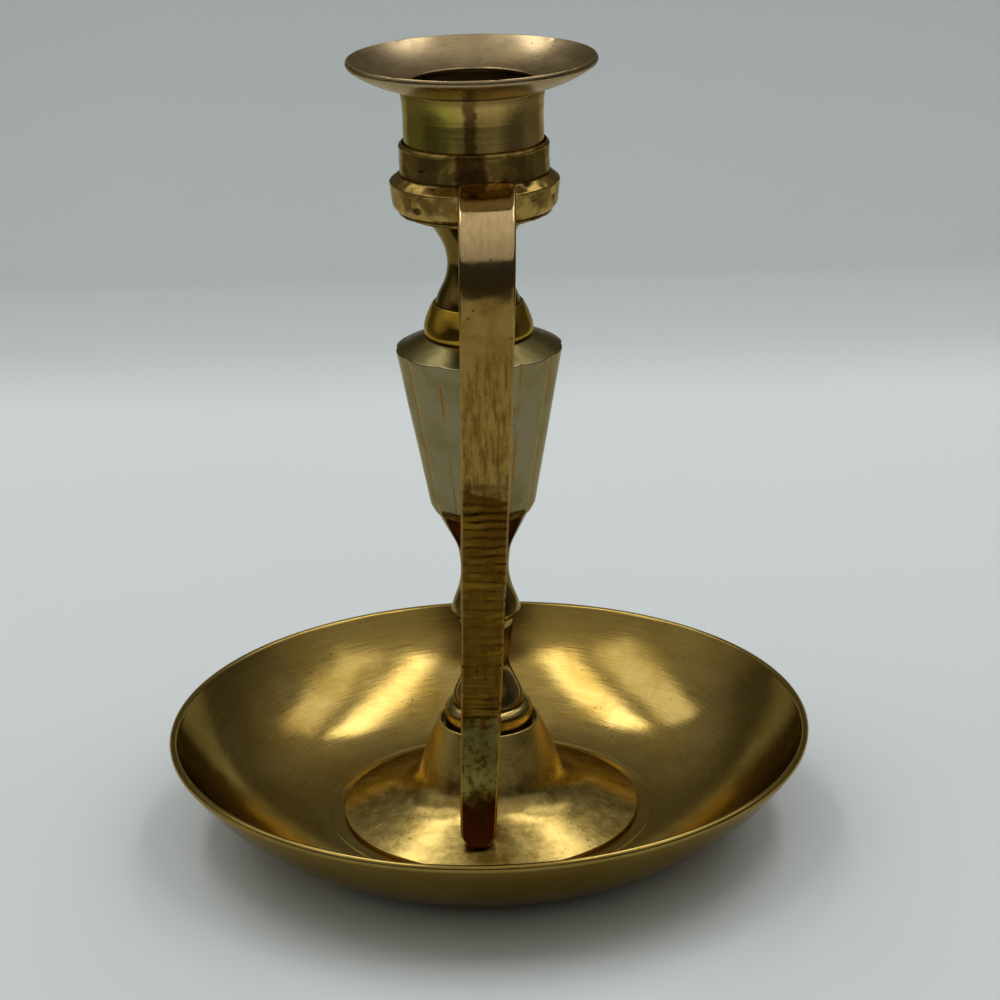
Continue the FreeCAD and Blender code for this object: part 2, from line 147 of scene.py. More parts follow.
# Urn
urn_hole_radius = 2.65 * mm
urn_knop_radius = 10.3 * mm
urn_rim_radius = 15.9 * mm
urn_foot_radius = 10.3 * mm
urn_plate_rise = 2.6 * mm
urn_bevel_height = 1.9 * mm
urn_bevel_width = 1.1 * mm
urn_flute_depth = 0.5 * mm
urn_flutes = 12
urn_edge_round = 0.16 * mm
urn_wall_band = 1.2 * mm
urn_far_outside = 8

# Strap, seen from the side: three tangent arcs. Angles are measured from straight down, outward positive.
strap_thickness = 2.5 * mm
strap_root_radius = 13.62 * mm
strap_root_drop = 5.0 * mm
strap_turns = ((75.0, 1.5, 0.135), (1.5, -17.3, 0.943), (-17.3, 24.0, 0.815))
strap_point_gap = 0.35 * mm
# Strap, seen from the front
strap_width_top = 10.5 * mm
strap_width_tip = 6.9 * mm
strap_offset_top = 2.2 * mm
strap_offset_tip = -2.55 * mm
strap_left_bow = 0.35 * mm
strap_right_bow = 0.65 * mm
strap_edge_radius = 0.55 * mm
strap_edge_parts = 8
strap_face_shares = (-0.12, -0.35, -0.6, -0.85, -1.15, -1.4, -1.65, -1.88)
strap_least_half = 0.05 * mm
strap_narrow_share = 0.3
strap_tip_radius = 24.5 * mm
strap_tip_gap = 0.25 * mm
strap_tip_slack = 0.01 * mm
# Strap's outer face
strap_face_lift = 0.3 * mm
strap_crown = 0.10 * mm
strap_ripple_length = 1.9 * mm
strap_ripple_height = 0.036 * mm
strap_ripple_waver = 0.35
strap_ripple_foot = (24 * mm, 31 * mm)
strap_ripple_top = (75 * mm, 71 * mm)
foot_radius = 29.2 * mm
foot_edge = 0.8 * mm
foot_flare_angle = math.radians(19.0)

# Marks in brass, as a pair of counts: per radian of the turn, or per millimetre of the strap's run, and
# per millimetre across it
fine_marks = (9.0, 2.6)
coarse_marks = (2.4, 0.35)
# Heights of marks, as shares of a material's relief
coarse_height = 0.5
grain_height = 0.2
pit_depth = 2.5
# Specks of old corrosion: how closely they lie and how large they get
speck_density = 0.55
largest_speck = 0.2
# How far each effect goes on brass
warm_share = 0.35
corner_darkening_share = 0.85
dirt_roughness = 0.3
worn_share = 0.4
pit_share = 0.85
brush_shade = (-0.3, 0.1)
brush_roughness = (-0.03, 0.07)

# Radii between which the bore's darker brown sets in
bore_within = (12.6, 12.2)
# Heights at which each tarnish, painted shade, painted highlight and painted reflection begins and is full.
# A band has two more for its other end
lip_above = (146.9, 147.6)
lip_cove_band = (145.2, 146.2, 147.2, 148.0)
bore_below = (147.2, 146.2)
collar_upper_above = (130.0, 131.0)
strap_highlight_above = (116.0, 121.5)
strap_streaks_below = (108.0, 100.0)
strap_reflection_below = (75.3, 74.7)
strap_green_below = (29.0, 24.0)
strap_green_above = (12.0, 16.0)
strap_tip_below = (15.0, 10.0)
neck_above = (106.4, 106.8)
knop_band = (99.0, 100.0, 106.4, 106.8)
urn_plate_above = (97.5, 98.0)
trumpet_band = (52.0, 56.0, 66.0, 68.0)
waist_band = (46.0, 47.0, 52.0, 56.0)
bead_below = (46.5, 45.5)
foot_steep_above = (12.0, 15.0)
tray_rim_above = (12.5, 16.5)

# Colours of brass and its tarnish, and of the painted shade, highlights and reflections on it
glancing_tint = (0.77, 0.69, 0.53, 1.0)
warm_tint = (0.86, 0.72, 0.5)
worn_tint = (1.2, 1.2, 1.3)
# Colour of the grime in pits, and of the painted shade in inner corners
grime_and_shade = (0.030, 0.014, 0.004)
lip_olive = (0.41, 0.345, 0.045)
# Painted shade under the lip
lip_cove_shade = (0.16, 0.10, 0.025)
lip_pale = (0.365, 0.27, 0.138)
lip_dull = (0.21, 0.155, 0.085)
bore_brown = (0.17, 0.115, 0.04)
# The next two are a painted reflection: a dark stripe down the front of the barrel and the collar
barrel_painted_reflection = (0.08, 0.03, 0.005)
collar_painted_reflection = (0.05, 0.018, 0.005)
collar_flaw = (0.02, 0.008, 0.003)
# Painted highlight on the strap's bend
strap_bend_highlight = (0.66, 0.47, 0.22)
strap_streak = (0.13, 0.070, 0.012)
# Painted reflection of the tray on the strap's lower half
strap_tray_reflection = (0.098, 0.046, 0.0035)
# Painted reflections of the ripples: lighter bands across the strap's lower half
strap_ripple_reflection = (0.20, 0.112, 0.010)
strap_green = (0.58, 0.55, 0.17)
strap_tip_brown = (0.10, 0.024, 0.008)
urn_orange = (0.28, 0.12, 0.012)
urn_plate_brown = (0.128, 0.104, 0.038)
waist_brown = (0.15, 0.105, 0.035)
neck_brown = (0.11, 0.070, 0.016)
knop_gold = (0.42, 0.24, 0.018)
trumpet_maroon = (0.11, 0.042, 0.012)
bead_pale = (0.26, 0.20, 0.09)
foot_satin = (0.42, 0.30, 0.084)
foot_steep = (0.46, 0.33, 0.092)
# Painted dark reflection near the tray's rim
tray_rim_reflection = (0.25, 0.168, 0.038)
steel_colour = (0.42, 0.40, 0.37)
rust_colour = (0.16, 0.10, 0.06)


def lerp(first, last, share):
    return first + (last - first) * share


def smooth_step(low, high, value):
    share = min(max((value - low) / (high - low), 0.0), 1.0)
    return share * share * (3 - 2 * share)


def uneven(place, height, length):
    """Soft noise of up to a height to either side, with features of about a length."""
    return height * noise.noise(place / length)


def lathe_marks(run, seed, height, length):
    """Rings left by the lathe, the same all round."""
    return uneven(Vector((seed, 0, run)), height, length)


def in_metres(marks):
    return [(Vector(centre) * mm, radius * mm, depth * mm) for centre, radius, depth in marks]


def depth_at(place, marks):
    """How deep the dents or pits are at a place."""
    return sum(depth * math.exp(-((place - centre).length / radius) ** 2) for centre, radius, depth in marks)


# Outlines

def section(node):
    """The longest closed outline of a CAD node in the half plane of +X, as (radius, height) vectors."""
    solid = bmesh.new()
    solid.from_mesh(node.data)
    bmesh.ops.remove_doubles(solid, verts=solid.verts[:], dist=weld_distance)
    everything = solid.verts[:] + solid.edges[:] + solid.faces[:]
    facing = Vector((0, 1, 0))
    cut = bmesh.ops.bisect_plane(solid, geom=everything, plane_co=origin, plane_no=facing, dist=cut_distance)
    links = {}
    places = {}
    for item in cut["geom_cut"]:
        if isinstance(item, bmesh.types.BMEdge):
            first, last = item.verts
            if first.co.x > 0 and last.co.x > 0:
                for a, b in ((first, last), (last, first)):
                    links.setdefault(a.index, set()).add(b.index)
                    places[a.index] = Vector((a.co.x, a.co.z))
    loops = walk_loops(links)
    solid.free()
    outlines = [[places[index] for index in loop] for loop in loops]
    return max(outlines, key=closed_length)


def walk_loops(links):
    """The closed chains in a table of linked points."""
    left = set(links)
    loops = []
    while left:
        here = left.pop()
        loop = [here]
        while True:
            onward = [index for index in links[here] if index in left]
            if not onward:
                break
            here = onward[0]
            left.remove(here)
            loop.append(here)
        loops.append(loop)
    return loops


def open_length(points):
    return sum((b - a).length for a, b in zip(points, points[1:]))


def closed_length(points):
    return open_length(points + points[:1])


def signed_area(points):
    return sum(a.x * b.y - b.x * a.y for a, b in zip(points, points[1:] + points[:1])) / 2


def turn_at(points, index):
    """Signed turn of a closed outline at one point, in radians."""
    before = points[index] - points[index - 1]
    after = points[(index + 1) % len(points)] - points[index]
    return math.atan2(before.x * after.y - before.y * after.x, before.dot(after))


def without_doubles(points):
    kept = []
    for point in points:
        if not kept or (point - kept[-1]).length > double_distance:
            kept.append(point)
    if (kept[0] - kept[-1]).length <= double_distance:
        kept.pop()
    return kept


def smooth_stretch(points, spacing):
    """Evenly spaced points on a smooth curve through the points, both ends kept."""
    if len(points) > 2:
        dense = []
        padded = [points[0] * 2 - points[1]] + points + [points[-1] * 2 - points[-2]]
        for a, b, c, d in zip(padded, padded[1:], padded[2:], padded[3:]):
            for part in range(curve_parts):
                t = part / curve_parts
                dense.append((b * 2 + (c - a) * t + (a * 2 - b * 5 + c * 4 - d) * t * t
                              + (b * 3 - a - c * 3 + d) * t * t * t) / 2)
        dense.append(points[-1])
    else:
        dense = points
    lengths = [0.0]
    for a, b in zip(dense, dense[1:]):
        lengths.append(lengths[-1] + (b - a).length)
    count = max(1, round(lengths[-1] / spacing))
    result = []
    index = 0
    for part in range(count + 1):
        target = lengths[-1] * part / count
        while index < len(dense) - 2 and lengths[index + 1] < target:
            index += 1
        span = lengths[index + 1] - lengths[index]
        share = (target - lengths[index]) / span if span > 0 else 0.0
        result.append(dense[index].lerp(dense[index + 1], min(share, 1.0)))
    return result


def trimmed(points, start, end):
    """The stretch without its first and last bits of given lengths."""
    for cut in (end, start):
        points = points[::-1]
        while len(points) > 2 and (points[1] - points[0]).length < cut:
            cut -= (points[1] - points[0]).length
            points = points[1:]
        span = (points[1] - points[0]).length
        points = [points[0].lerp(points[1], min(cut / span, largest_trim))] + points[1:]
    return points


def eased(points, edge_break, spacing):
    """A closed outline with small rounds on its corners: a list of (point, corner), corner from -1 to 1."""
    points = without_doubles(points)
    if signed_area(points) < 0:
        points = points[::-1]
    corners = [index for index in range(len(points)) if abs(turn_at(points, index)) > corner_turn]
    points = points[corners[0]:] + points[:corners[0]]
    corners = [index - corners[0] for index in corners] + [len(points)]
    turns = [turn_at(points, index % len(points)) for index in corners]
    points = points + [points[0]]
    stretches = [points[first:last + 1] for first, last in zip(corners, corners[1:])]
    sizes = [corner_share * open_length(stretch) for stretch in stretches]
    breaks = [min(edge_break, sizes[index - 1], sizes[index]) for index in range(len(stretches))]
    breaks.append(breaks[0])
    result = []
    for index, stretch in enumerate(stretches):
        ease = trimmed(stretch, breaks[index], breaks[index + 1])
        run = smooth_stretch(ease, spacing)
        if len(run) > 3:
            run.insert(1, run[0].lerp(run[1], near_corner))
            run.insert(-1, run[-1].lerp(run[-2], near_corner))
        result += [(point, 0.0) for point in run]
        sharp = max(-1.0, min(1.0, turns[index + 1] / sharpest_turn))
        start = run[-1]
        corner = stretch[-1]
        onward = stretches[(index + 1) % len(stretches)]
        end = trimmed(onward, breaks[(index + 1) % len(stretches)], 0.0)[0]
        for part in range(1, corner_points):
            t = part / corner_points
            point = start * (1 - t) ** 2 + corner * (2 * t * (1 - t)) + end * t * t
            result.append((point, sharp * math.sin(math.pi * t)))
    return result


# Meshes

def mesh_object(name, places, faces, runs, corners):
    """A smooth object whose points carry their run along the outline, in metres, and their corner value."""
    mesh = bpy.data.meshes.new(name)
    mesh.from_pydata(places, [], faces)
    mesh.attributes.new("run", "FLOAT", "POINT").data.foreach_set("value", runs)
    mesh.attributes.new("corner", "FLOAT", "POINT").data.foreach_set("value", corners)
    mesh.polygons.foreach_set("use_smooth", [True] * len(faces))
    mesh.update()
    piece = bpy.data.objects.new(name, mesh)
    bpy.context.scene.collection.objects.link(piece)
    return piece


def spun(name, outline, segments, shift, reshape=None):
    """An outline spun about the stem's axis. shift(place, angle, run) is how far a point stands out."""
    count = len(outline)
    flat = [point for point, corner in outline]
    run = 0.0
    runs = []
    facings = []
    for index, point in enumerate(flat):
        tangent = flat[(index + 1) % count] - flat[index - 1]
        tangent.normalize()
        facings.append(Vector((tangent.y, -tangent.x)))
        runs.append(run)
        run += (flat[(index + 1) % count] - point).length
    places = []
    for turn in range(segments):
        angle = 2 * math.pi * turn / segments
        for index, point in enumerate(flat):
            if reshape:
                point = reshape(point, angle)
            out = Vector((math.cos(angle), math.sin(angle), 0))
            place = out * point.x + Vector((0, 0, point.y))
            facing = out * facings[index].x + Vector((0, 0, facings[index].y))
            places.append(place + facing * shift(place, angle, runs[index]))
    faces = []
    for turn in range(segments):
        for index in range(count):
            after = (index + 1) % count
            here = turn * count
            there = (turn + 1) % segments * count
            faces.append((here + index, there + index, there + after, here + after))
    corners = [corner for point, corner in outline]
    return mesh_object(name, places, faces, runs * segments, corners * segments)


def turned(name, node_name, shift, edge_break, spacing, segments):
    """A CAD node's outline with eased corners, spun again with its marks."""
    outline = eased(section(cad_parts[node_name]), edge_break, spacing)
    return spun(name, outline, segments, shift)


# Pieces

def make_tray():
    """Spun dish: rings left by the spinning tool, a wavy wall and a few dents."""
    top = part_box("tray")[1].z
    dents = in_metres(tray_dents)

    def shift(place, angle, run):
        wall = smooth_step(0, tray_wall_start, place.z)
        round_about = Vector((math.cos(angle), math.sin(angle), 0)) * tray_ring_drift
        along = Vector((0, 0, run))
        rings = uneven(round_about * 0.8 + along, height=0.004 * mm, length=1.3 * mm)
        rings += uneven(round_about + along, height=0.011 * mm, length=3.4 * mm)
        waves = uneven(place, height=0.07 * mm, length=17 * mm)
        waves += uneven(place, height=0.02 * mm, length=6 * mm)
        out = rings + (waves - tray_wall_wear) * wall - depth_at(place, dents)
        if place.z < tray_edge_band or place.z > top - tray_edge_band:
            out = min(out, 0.0) * tray_edge_share
        return out

    return turned("drip_tray", "tray", shift, edge_break=0.2 * mm, spacing=0.6 * mm, segments=320)


def make_foot():
    """Bell foot with turning marks, slightly uneven."""
    def shift(place, angle, run):
        marks = lathe_marks(run, seed=0, height=0.004 * mm, length=0.7 * mm)
        return marks + uneven(place, height=0.03 * mm, length=9 * mm) - foot_wear

    return turned("foot_bell", "foot_cone", shift, edge_break=0.16 * mm, spacing=0.35 * mm, segments=224)


def make_spindle(node_name, name):
    """A turned piece of the stem, hand polished so that it is not quite even."""
    def shift(place, angle, run):
        marks = lathe_marks(run, seed=3, height=0.004 * mm, length=0.6 * mm)
        return marks + uneven(place, height=0.03 * mm, length=5 * mm) - spindle_wear

    return turned(name, node_name, shift, edge_break=0.16 * mm, spacing=0.32 * mm, segments=160)


def make_socket():
    """Candle socket: brushed lip with nicks in its edge, and a turned barrel."""
    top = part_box("candle_socket")[1].z

    def shift(place, angle, run):
        radius = math.hypot(place.x, place.y)
        marks = lathe_marks(run, seed=5, height=0.006 * mm, length=0.5 * mm)
        out = marks + uneven(place, height=0.045 * mm, length=8 * mm) - socket_wear
        edge = smooth_step(lip_edge_inner, lip_edge_outer, radius)
        for where, half_width in lip_nicks:
            away = radius * abs(math.remainder(angle - where, 2 * math.pi)) / (half_width * mm)
            out -= lip_nick_depth * edge * math.exp(-away ** 2)
        if place.z > top - lip_top_band:
            out = min(out, 0.0)
        return out

    return turned("socket_cup", "candle_socket", shift,
                  edge_break=0.22 * mm, spacing=0.35 * mm, segments=240)


def make_urn():
    """Urn of twelve convex lobes that meet in sharp grooves, under a shallow conical plate."""
    low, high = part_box("fluted_urn")
    plate_foot = high.z - urn_plate_rise
    bevel_top = low.z + urn_bevel_height
    spread = (urn_rim_radius - urn_foot_radius) / (plate_foot - bevel_top)
    outline = [
        Vector((urn_hole_radius, low.z)),
        Vector((urn_foot_radius - urn_bevel_width, low.z)),
        Vector((urn_foot_radius, bevel_top)),
        Vector((urn_rim_radius, plate_foot)),
        Vector((urn_knop_radius, high.z)),
        Vector((urn_hole_radius, high.z)),
    ]

    def reshape(point, angle):
        """Pulls the point in to the lobed wall, with a small round where the two meet."""
        phase = (angle / (2 * math.pi) * urn_flutes) % 1.0 - 0.5
        crest = urn_rim_radius + spread * (point.y - plate_foot)
        lobe = crest - urn_flute_depth * (2 * phase) ** 2 * crest / urn_rim_radius
        if point.x < crest - urn_wall_band:
            return point
        gap = (lobe - point.x) / urn_edge_round
        if gap > urn_far_outside:
            return point
        return Vector((lobe - urn_edge_round * math.log(1 + math.exp(gap)), point.y))

    def shift(place, angle, run):
        cast = uneven(place, height=0.05 * mm, length=7 * mm)
        cast += uneven(place, height=0.014 * mm, length=1.6 * mm)
        return cast * smooth_step(*urn_skin, math.hypot(place.x, place.y)) - urn_wear

    drawn = eased(outline, edge_break=0.3 * mm, spacing=0.3 * mm)
    return spun("lobed_urn", drawn, 384, shift, reshape)


def make_collar():
    """Rough cast collar: dressed with a file, with pits left from the mould."""
    pits = in_metres(collar_pits)

    def shift(place, angle, run):
        outside = smooth_step(*collar_skin, math.hypot(place.x, place.y))
        upright = Vector((place.x, place.y, 4.0))
        drawn_up = Vector((place.x, place.y, place.z * 0.15))
        chatter = uneven(upright, height=0.06 * mm, length=2.6 * mm)
        chatter += uneven(drawn_up, height=0.05 * mm, length=1.5 * mm)
        rough = uneven(place, height=0.07 * mm, length=3.4 * mm)
        rough += uneven(place, height=0.012 * mm, length=0.8 * mm)
        return outside * (chatter + rough - collar_wear - depth_at(place, pits))

    return turned("handle_collar", "handle", shift, edge_break=0.3 * mm, spacing=0.3 * mm, segments=360)


def strap_course():
    """Middle line of the strap seen from the side, and the heights of its tip and its top.

    The line is a list of (place, outward facing, run)."""
    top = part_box("handle")[1].z
    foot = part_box("foot_cone")[0].z
    tip_foot = foot + foot_edge + (foot_radius - strap_tip_radius) * math.tan(foot_flare_angle)
    root = top - strap_root_drop
    drop = root - tip_foot

    def facing(angle):
        turn = math.radians(angle)
        return Vector((0, -math.cos(turn), math.sin(turn)))

    here = Vector((0, -strap_root_radius, root))
    course = []
    run = 0.0
    for first, last, share in strap_turns:
        radius = share * drop
        side = 1 if last < first else -1
        centre = here - facing(first) * (side * radius)
        count = max(8, round(radius * math.radians(abs(last - first)) / strap_point_gap))
        for part in range(count + 1):
            if course and part == 0:
                continue
            outward = facing(lerp(first, last, part / count))
            middle = centre + outward * (side * radius) - outward * (strap_thickness / 2)
            if course:
                run += (middle - course[-1][0]).length
            course.append((middle, outward, run))
        here = centre + facing(last) * (side * radius)
    return course, tip_foot + strap_tip_gap, top


def strap_edges(height, tip_foot, top):
    """Left and right edge of the strap at a height."""
    tip_round = strap_width_tip / 2
    straight = top - tip_foot - tip_round
    share = (height - tip_foot - tip_round) / straight
    if share < 0:
        reach = math.sqrt(max(tip_round ** 2 - (share * straight) ** 2, 0.0))
        return strap_offset_tip - reach, strap_offset_tip + reach
    bow = 4 * share * (1 - share)
    left = lerp(strap_offset_tip - tip_round, strap_offset_top - strap_width_top / 2, share)
    right = lerp(strap_offset_tip + tip_round, strap_offset_top + strap_width_top / 2, share)
    return left + strap_left_bow * bow, right + strap_right_bow * bow


def strap_section():
    """Rounded section of the strap, as a list of (side, inset, lift, corner).

    An inset of 0 or more is a length in from the edge, and a negative one is a share of the way across
    the face, with the far edge at -2. The lift is measured outward from the middle."""
    half = strap_thickness / 2
    flat = half - strap_edge_radius
    points = []
    for side in (1, -1):
        for part in range(strap_edge_parts + 1):
            angle = math.pi * (part / strap_edge_parts) - math.pi / 2
            outer_half = 1 if part * 2 >= strap_edge_parts else -1
            lift = math.sin(angle) * strap_edge_radius + flat * outer_half
            inset = strap_edge_radius * (1 - math.cos(angle))
            points.append((side, inset, lift * side, abs(math.sin(2 * angle))))
        points += [(side, share, half * side, 0.0) for share in strap_face_shares]
    return points


def strap_face(across, half, run, height):
    """How far the strap's outer face stands out: hammer ripples, file marks and a slight crown."""
    ripple_bands = smooth_step(*strap_ripple_top, height) * smooth_step(*strap_ripple_foot, height)
    waver = noise.noise(Vector((across / (3 * mm), 0, run / (4 * mm))))
    phase = run / strap_ripple_length + strap_ripple_waver * waver
    fade = 0.5 + 0.5 * noise.noise(Vector((across / (2.5 * mm), 9, run / (3 * mm))))
    out = strap_ripple_height * ripple_bands * fade * math.sin(2 * math.pi * phase)
    out += uneven(Vector((across, 0, run * 0.35)), height=0.035 * mm, length=3.0 * mm)
    out += uneven(Vector((across * 2.5, 2, run * 0.4)), height=0.012 * mm, length=0.9 * mm)
    return out - (strap_crown * (across / half) ** 2 + strap_wear)


def foot_clearance(place, tip_foot):
    """Lowest height the strap may reach over the foot's flare."""
    radius = math.hypot(place.x, place.y)
    return tip_foot + (strap_tip_radius - radius) * math.tan(foot_flare_angle)


def make_strap():
    """Hand-filed strap with a round tip, cross ripples from the hammer on its lower half."""
    course, tip_foot, top = strap_course()
    ring = strap_section()
    lowest = tip_foot + strap_tip_slack
    places = []
    runs = []
    corners = []
    rings = 0
    for middle, outward, run in course:
        if (middle + outward * (strap_thickness / 2)).z < lowest:
            continue
        for side, inset, lift, corner in ring:
            place = middle + outward * lift
            height = max(place.z, lowest)
            left, right = strap_edges(height, tip_foot, top)
            half = max((right - left) / 2, strap_least_half)
            if inset >= 0:
                across = side * max(half - inset, half * strap_narrow_share)
            else:
                shoulder = min(strap_edge_radius, half * (1 - strap_narrow_share))
                across = side * (half - shoulder) * (1 + inset)
            if lift > strap_face_lift:
                place = place + outward * strap_face(across, half, run, height)
            place.x = (left + right) / 2 + across
            place.z = max(place.z, foot_clearance(place, tip_foot))
            places.append(place)
            runs.append(run)
            corners.append(corner)
        rings += 1
    count = len(ring)
    faces = []
    for index in range(rings - 1):
        for part in range(count):
            after = (part + 1) % count
            here = index * count
            faces.append((here + part, here + after, here + count + after, here + count + part))
    faces.append(tuple(range(count))[::-1])
    faces.append(tuple((rings - 1) * count + part for part in range(count)))
    return mesh_object("finger_strap", places, faces, runs, corners)


# Materials

class Shader:
    """Short ways to add nodes to one material."""

    def __init__(self, name):
        self.material = bpy.data.materials.new(name)
        self.material.use_nodes = True
        self.tree = self.material.node_tree
        self.surface = self.tree.nodes["Principled BSDF"]

    @classmethod
    def on_tree(cls, tree):
        """The same short ways on a tree that already stands, such as the world's."""
        shader = cls.__new__(cls)
        shader.tree = tree
        return shader

    def curve(self, value, stops):
        """A grey that follows (position, brightness) stops."""
        node = self.tree.nodes.new("ShaderNodeValToRGB")
        while len(node.color_ramp.elements) < len(stops):
            node.color_ramp.elements.new(0.5)
        for element, (position, brightness) in zip(node.color_ramp.elements, stops):
            element.position = position
            element.color = (brightness, brightness, brightness, 1.0)
        self.put(value, node.inputs[0])
        return node.outputs[0]

    def put(self, value, socket):
        if isinstance(value, bpy.types.NodeSocket):
            self.tree.links.new(value, socket)
        else:
            socket.default_value = value

    def add(self, kind, inputs, output=0, **settings):
        node = self.tree.nodes.new(kind)
        for name, value in settings.items():
            setattr(node, name, value)
        for name, value in inputs.items():
            self.put(value, node.inputs[name])
        return node.outputs[output]

    def math(self, operation, first, second=0.0, clamp=False):
        return self.add("ShaderNodeMath", {0: first, 1: second}, operation=operation, use_clamp=clamp)

    def times(self, first, second):
        return self.math("MULTIPLY", first, second)

    def plus(self, first, second, clamp=False):
        return self.math("ADD", first, second, clamp)

    def minus(self, first, second):
        return self.math("SUBTRACT", first, second)

    def vector(self, operation, inputs, output=0):
        return self.add("ShaderNodeVectorMath", inputs, output, operation=operation)

    def length(self, vector):
        return self.vector("LENGTH", {0: vector}, "Value")

    def axis(self, vector, name):
        """The X, Y or Z of a vector."""
        return self.add("ShaderNodeSeparateXYZ", {0: vector}, name)

    def place(self):
        """Object coordinates in millimetres."""
        coordinates = self.add("ShaderNodeTexCoord", {}, "Object")
        return self.vector("SCALE", {0: coordinates, "Scale": per_metre})

    def level(self, place):
        """The place without its height."""
        return self.vector("MULTIPLY", {0: place, 1: (1.0, 1.0, 0.0)})

    def attribute(self, name):
        return self.add("ShaderNodeAttribute", {}, "Fac", attribute_name=name)

    def noise(self, vector, scale=1.0, detail=4.0, roughness=0.55, distortion=0.0):
        return self.add("ShaderNodeTexNoise", {"Vector": vector, "Scale": scale, "Detail": detail,
                                               "Roughness": roughness, "Distortion": distortion}, "Fac")

    def wander(self, vector, scale, detail, reach):
        """Noise about zero, at most half of reach to either side."""
        return self.times(self.minus(self.noise(vector, scale, detail), 0.5), reach)

    def ramp(self, value, low, high, to_low=0.0, to_high=1.0):
        return self.add("ShaderNodeMapRange", {0: value, 1: low, 2: high, 3: to_low, 4: to_high})

    def mix(self, share, first, second, blend="MIX"):
        node = self.tree.nodes.new("ShaderNodeMix")
        node.data_type = "RGBA"
        node.blend_type = blend
        self.put(share, node.inputs[0])
        self.put(first if isinstance(first, bpy.types.NodeSocket) else (*first, 1.0), node.inputs[6])
        self.put(second if isinstance(second, bpy.types.NodeSocket) else (*second, 1.0), node.inputs[7])
        return node.outputs[2]

    def grey(self, value):
        return self.add("ShaderNodeCombineColor", {0: value, 1: value, 2: value})


def tinted(colour, tint):
    return tuple(part * share for part, share in zip(colour, tint))


def height_share(shader, place, low, high):
    """A share that rises from 0 at one height to 1 at another."""
    return shader.ramp(shader.axis(place, "Z"), low, high)


def band(shader, place, foot, full_from, full_to, top):
    """A share that is 1 between two heights and falls to 0 at the foot and the top."""
    below = height_share(shader, place, foot, full_from)
    return shader.times(below, height_share(shader, place, top, full_to))


def spot(shader, place, centre, size):
    """A soft-edged blot about a centre."""
    away = shader.vector("DIVIDE", {0: shader.vector("SUBTRACT", {0: place, 1: centre}), 1: size})
    return shader.ramp(shader.length(away), 1.15, 0.70)


def brush_vector(shader, place, along, across):
    """Coordinates for marks that run round the axis: stretched along the turn, fine across it."""
    turn = shader.vector("SCALE", {0: shader.vector("NORMALIZE", {0: shader.level(place)}), "Scale": along})
    run = shader.times(shader.attribute("run"), per_metre * across)
    lift = shader.add("ShaderNodeCombineXYZ", {"Z": run})
    return shader.vector("ADD", {0: turn, 1: lift})


def strap_vector(shader, place, along, across):
    """Coordinates for marks on the strap, with counts along its run and across it."""
    sides = shader.axis(place, "X")
    run = shader.times(shader.attribute("run"), per_metre * along)
    return shader.add("ShaderNodeCombineXYZ", {"X": shader.times(sides, across), "Z": run})


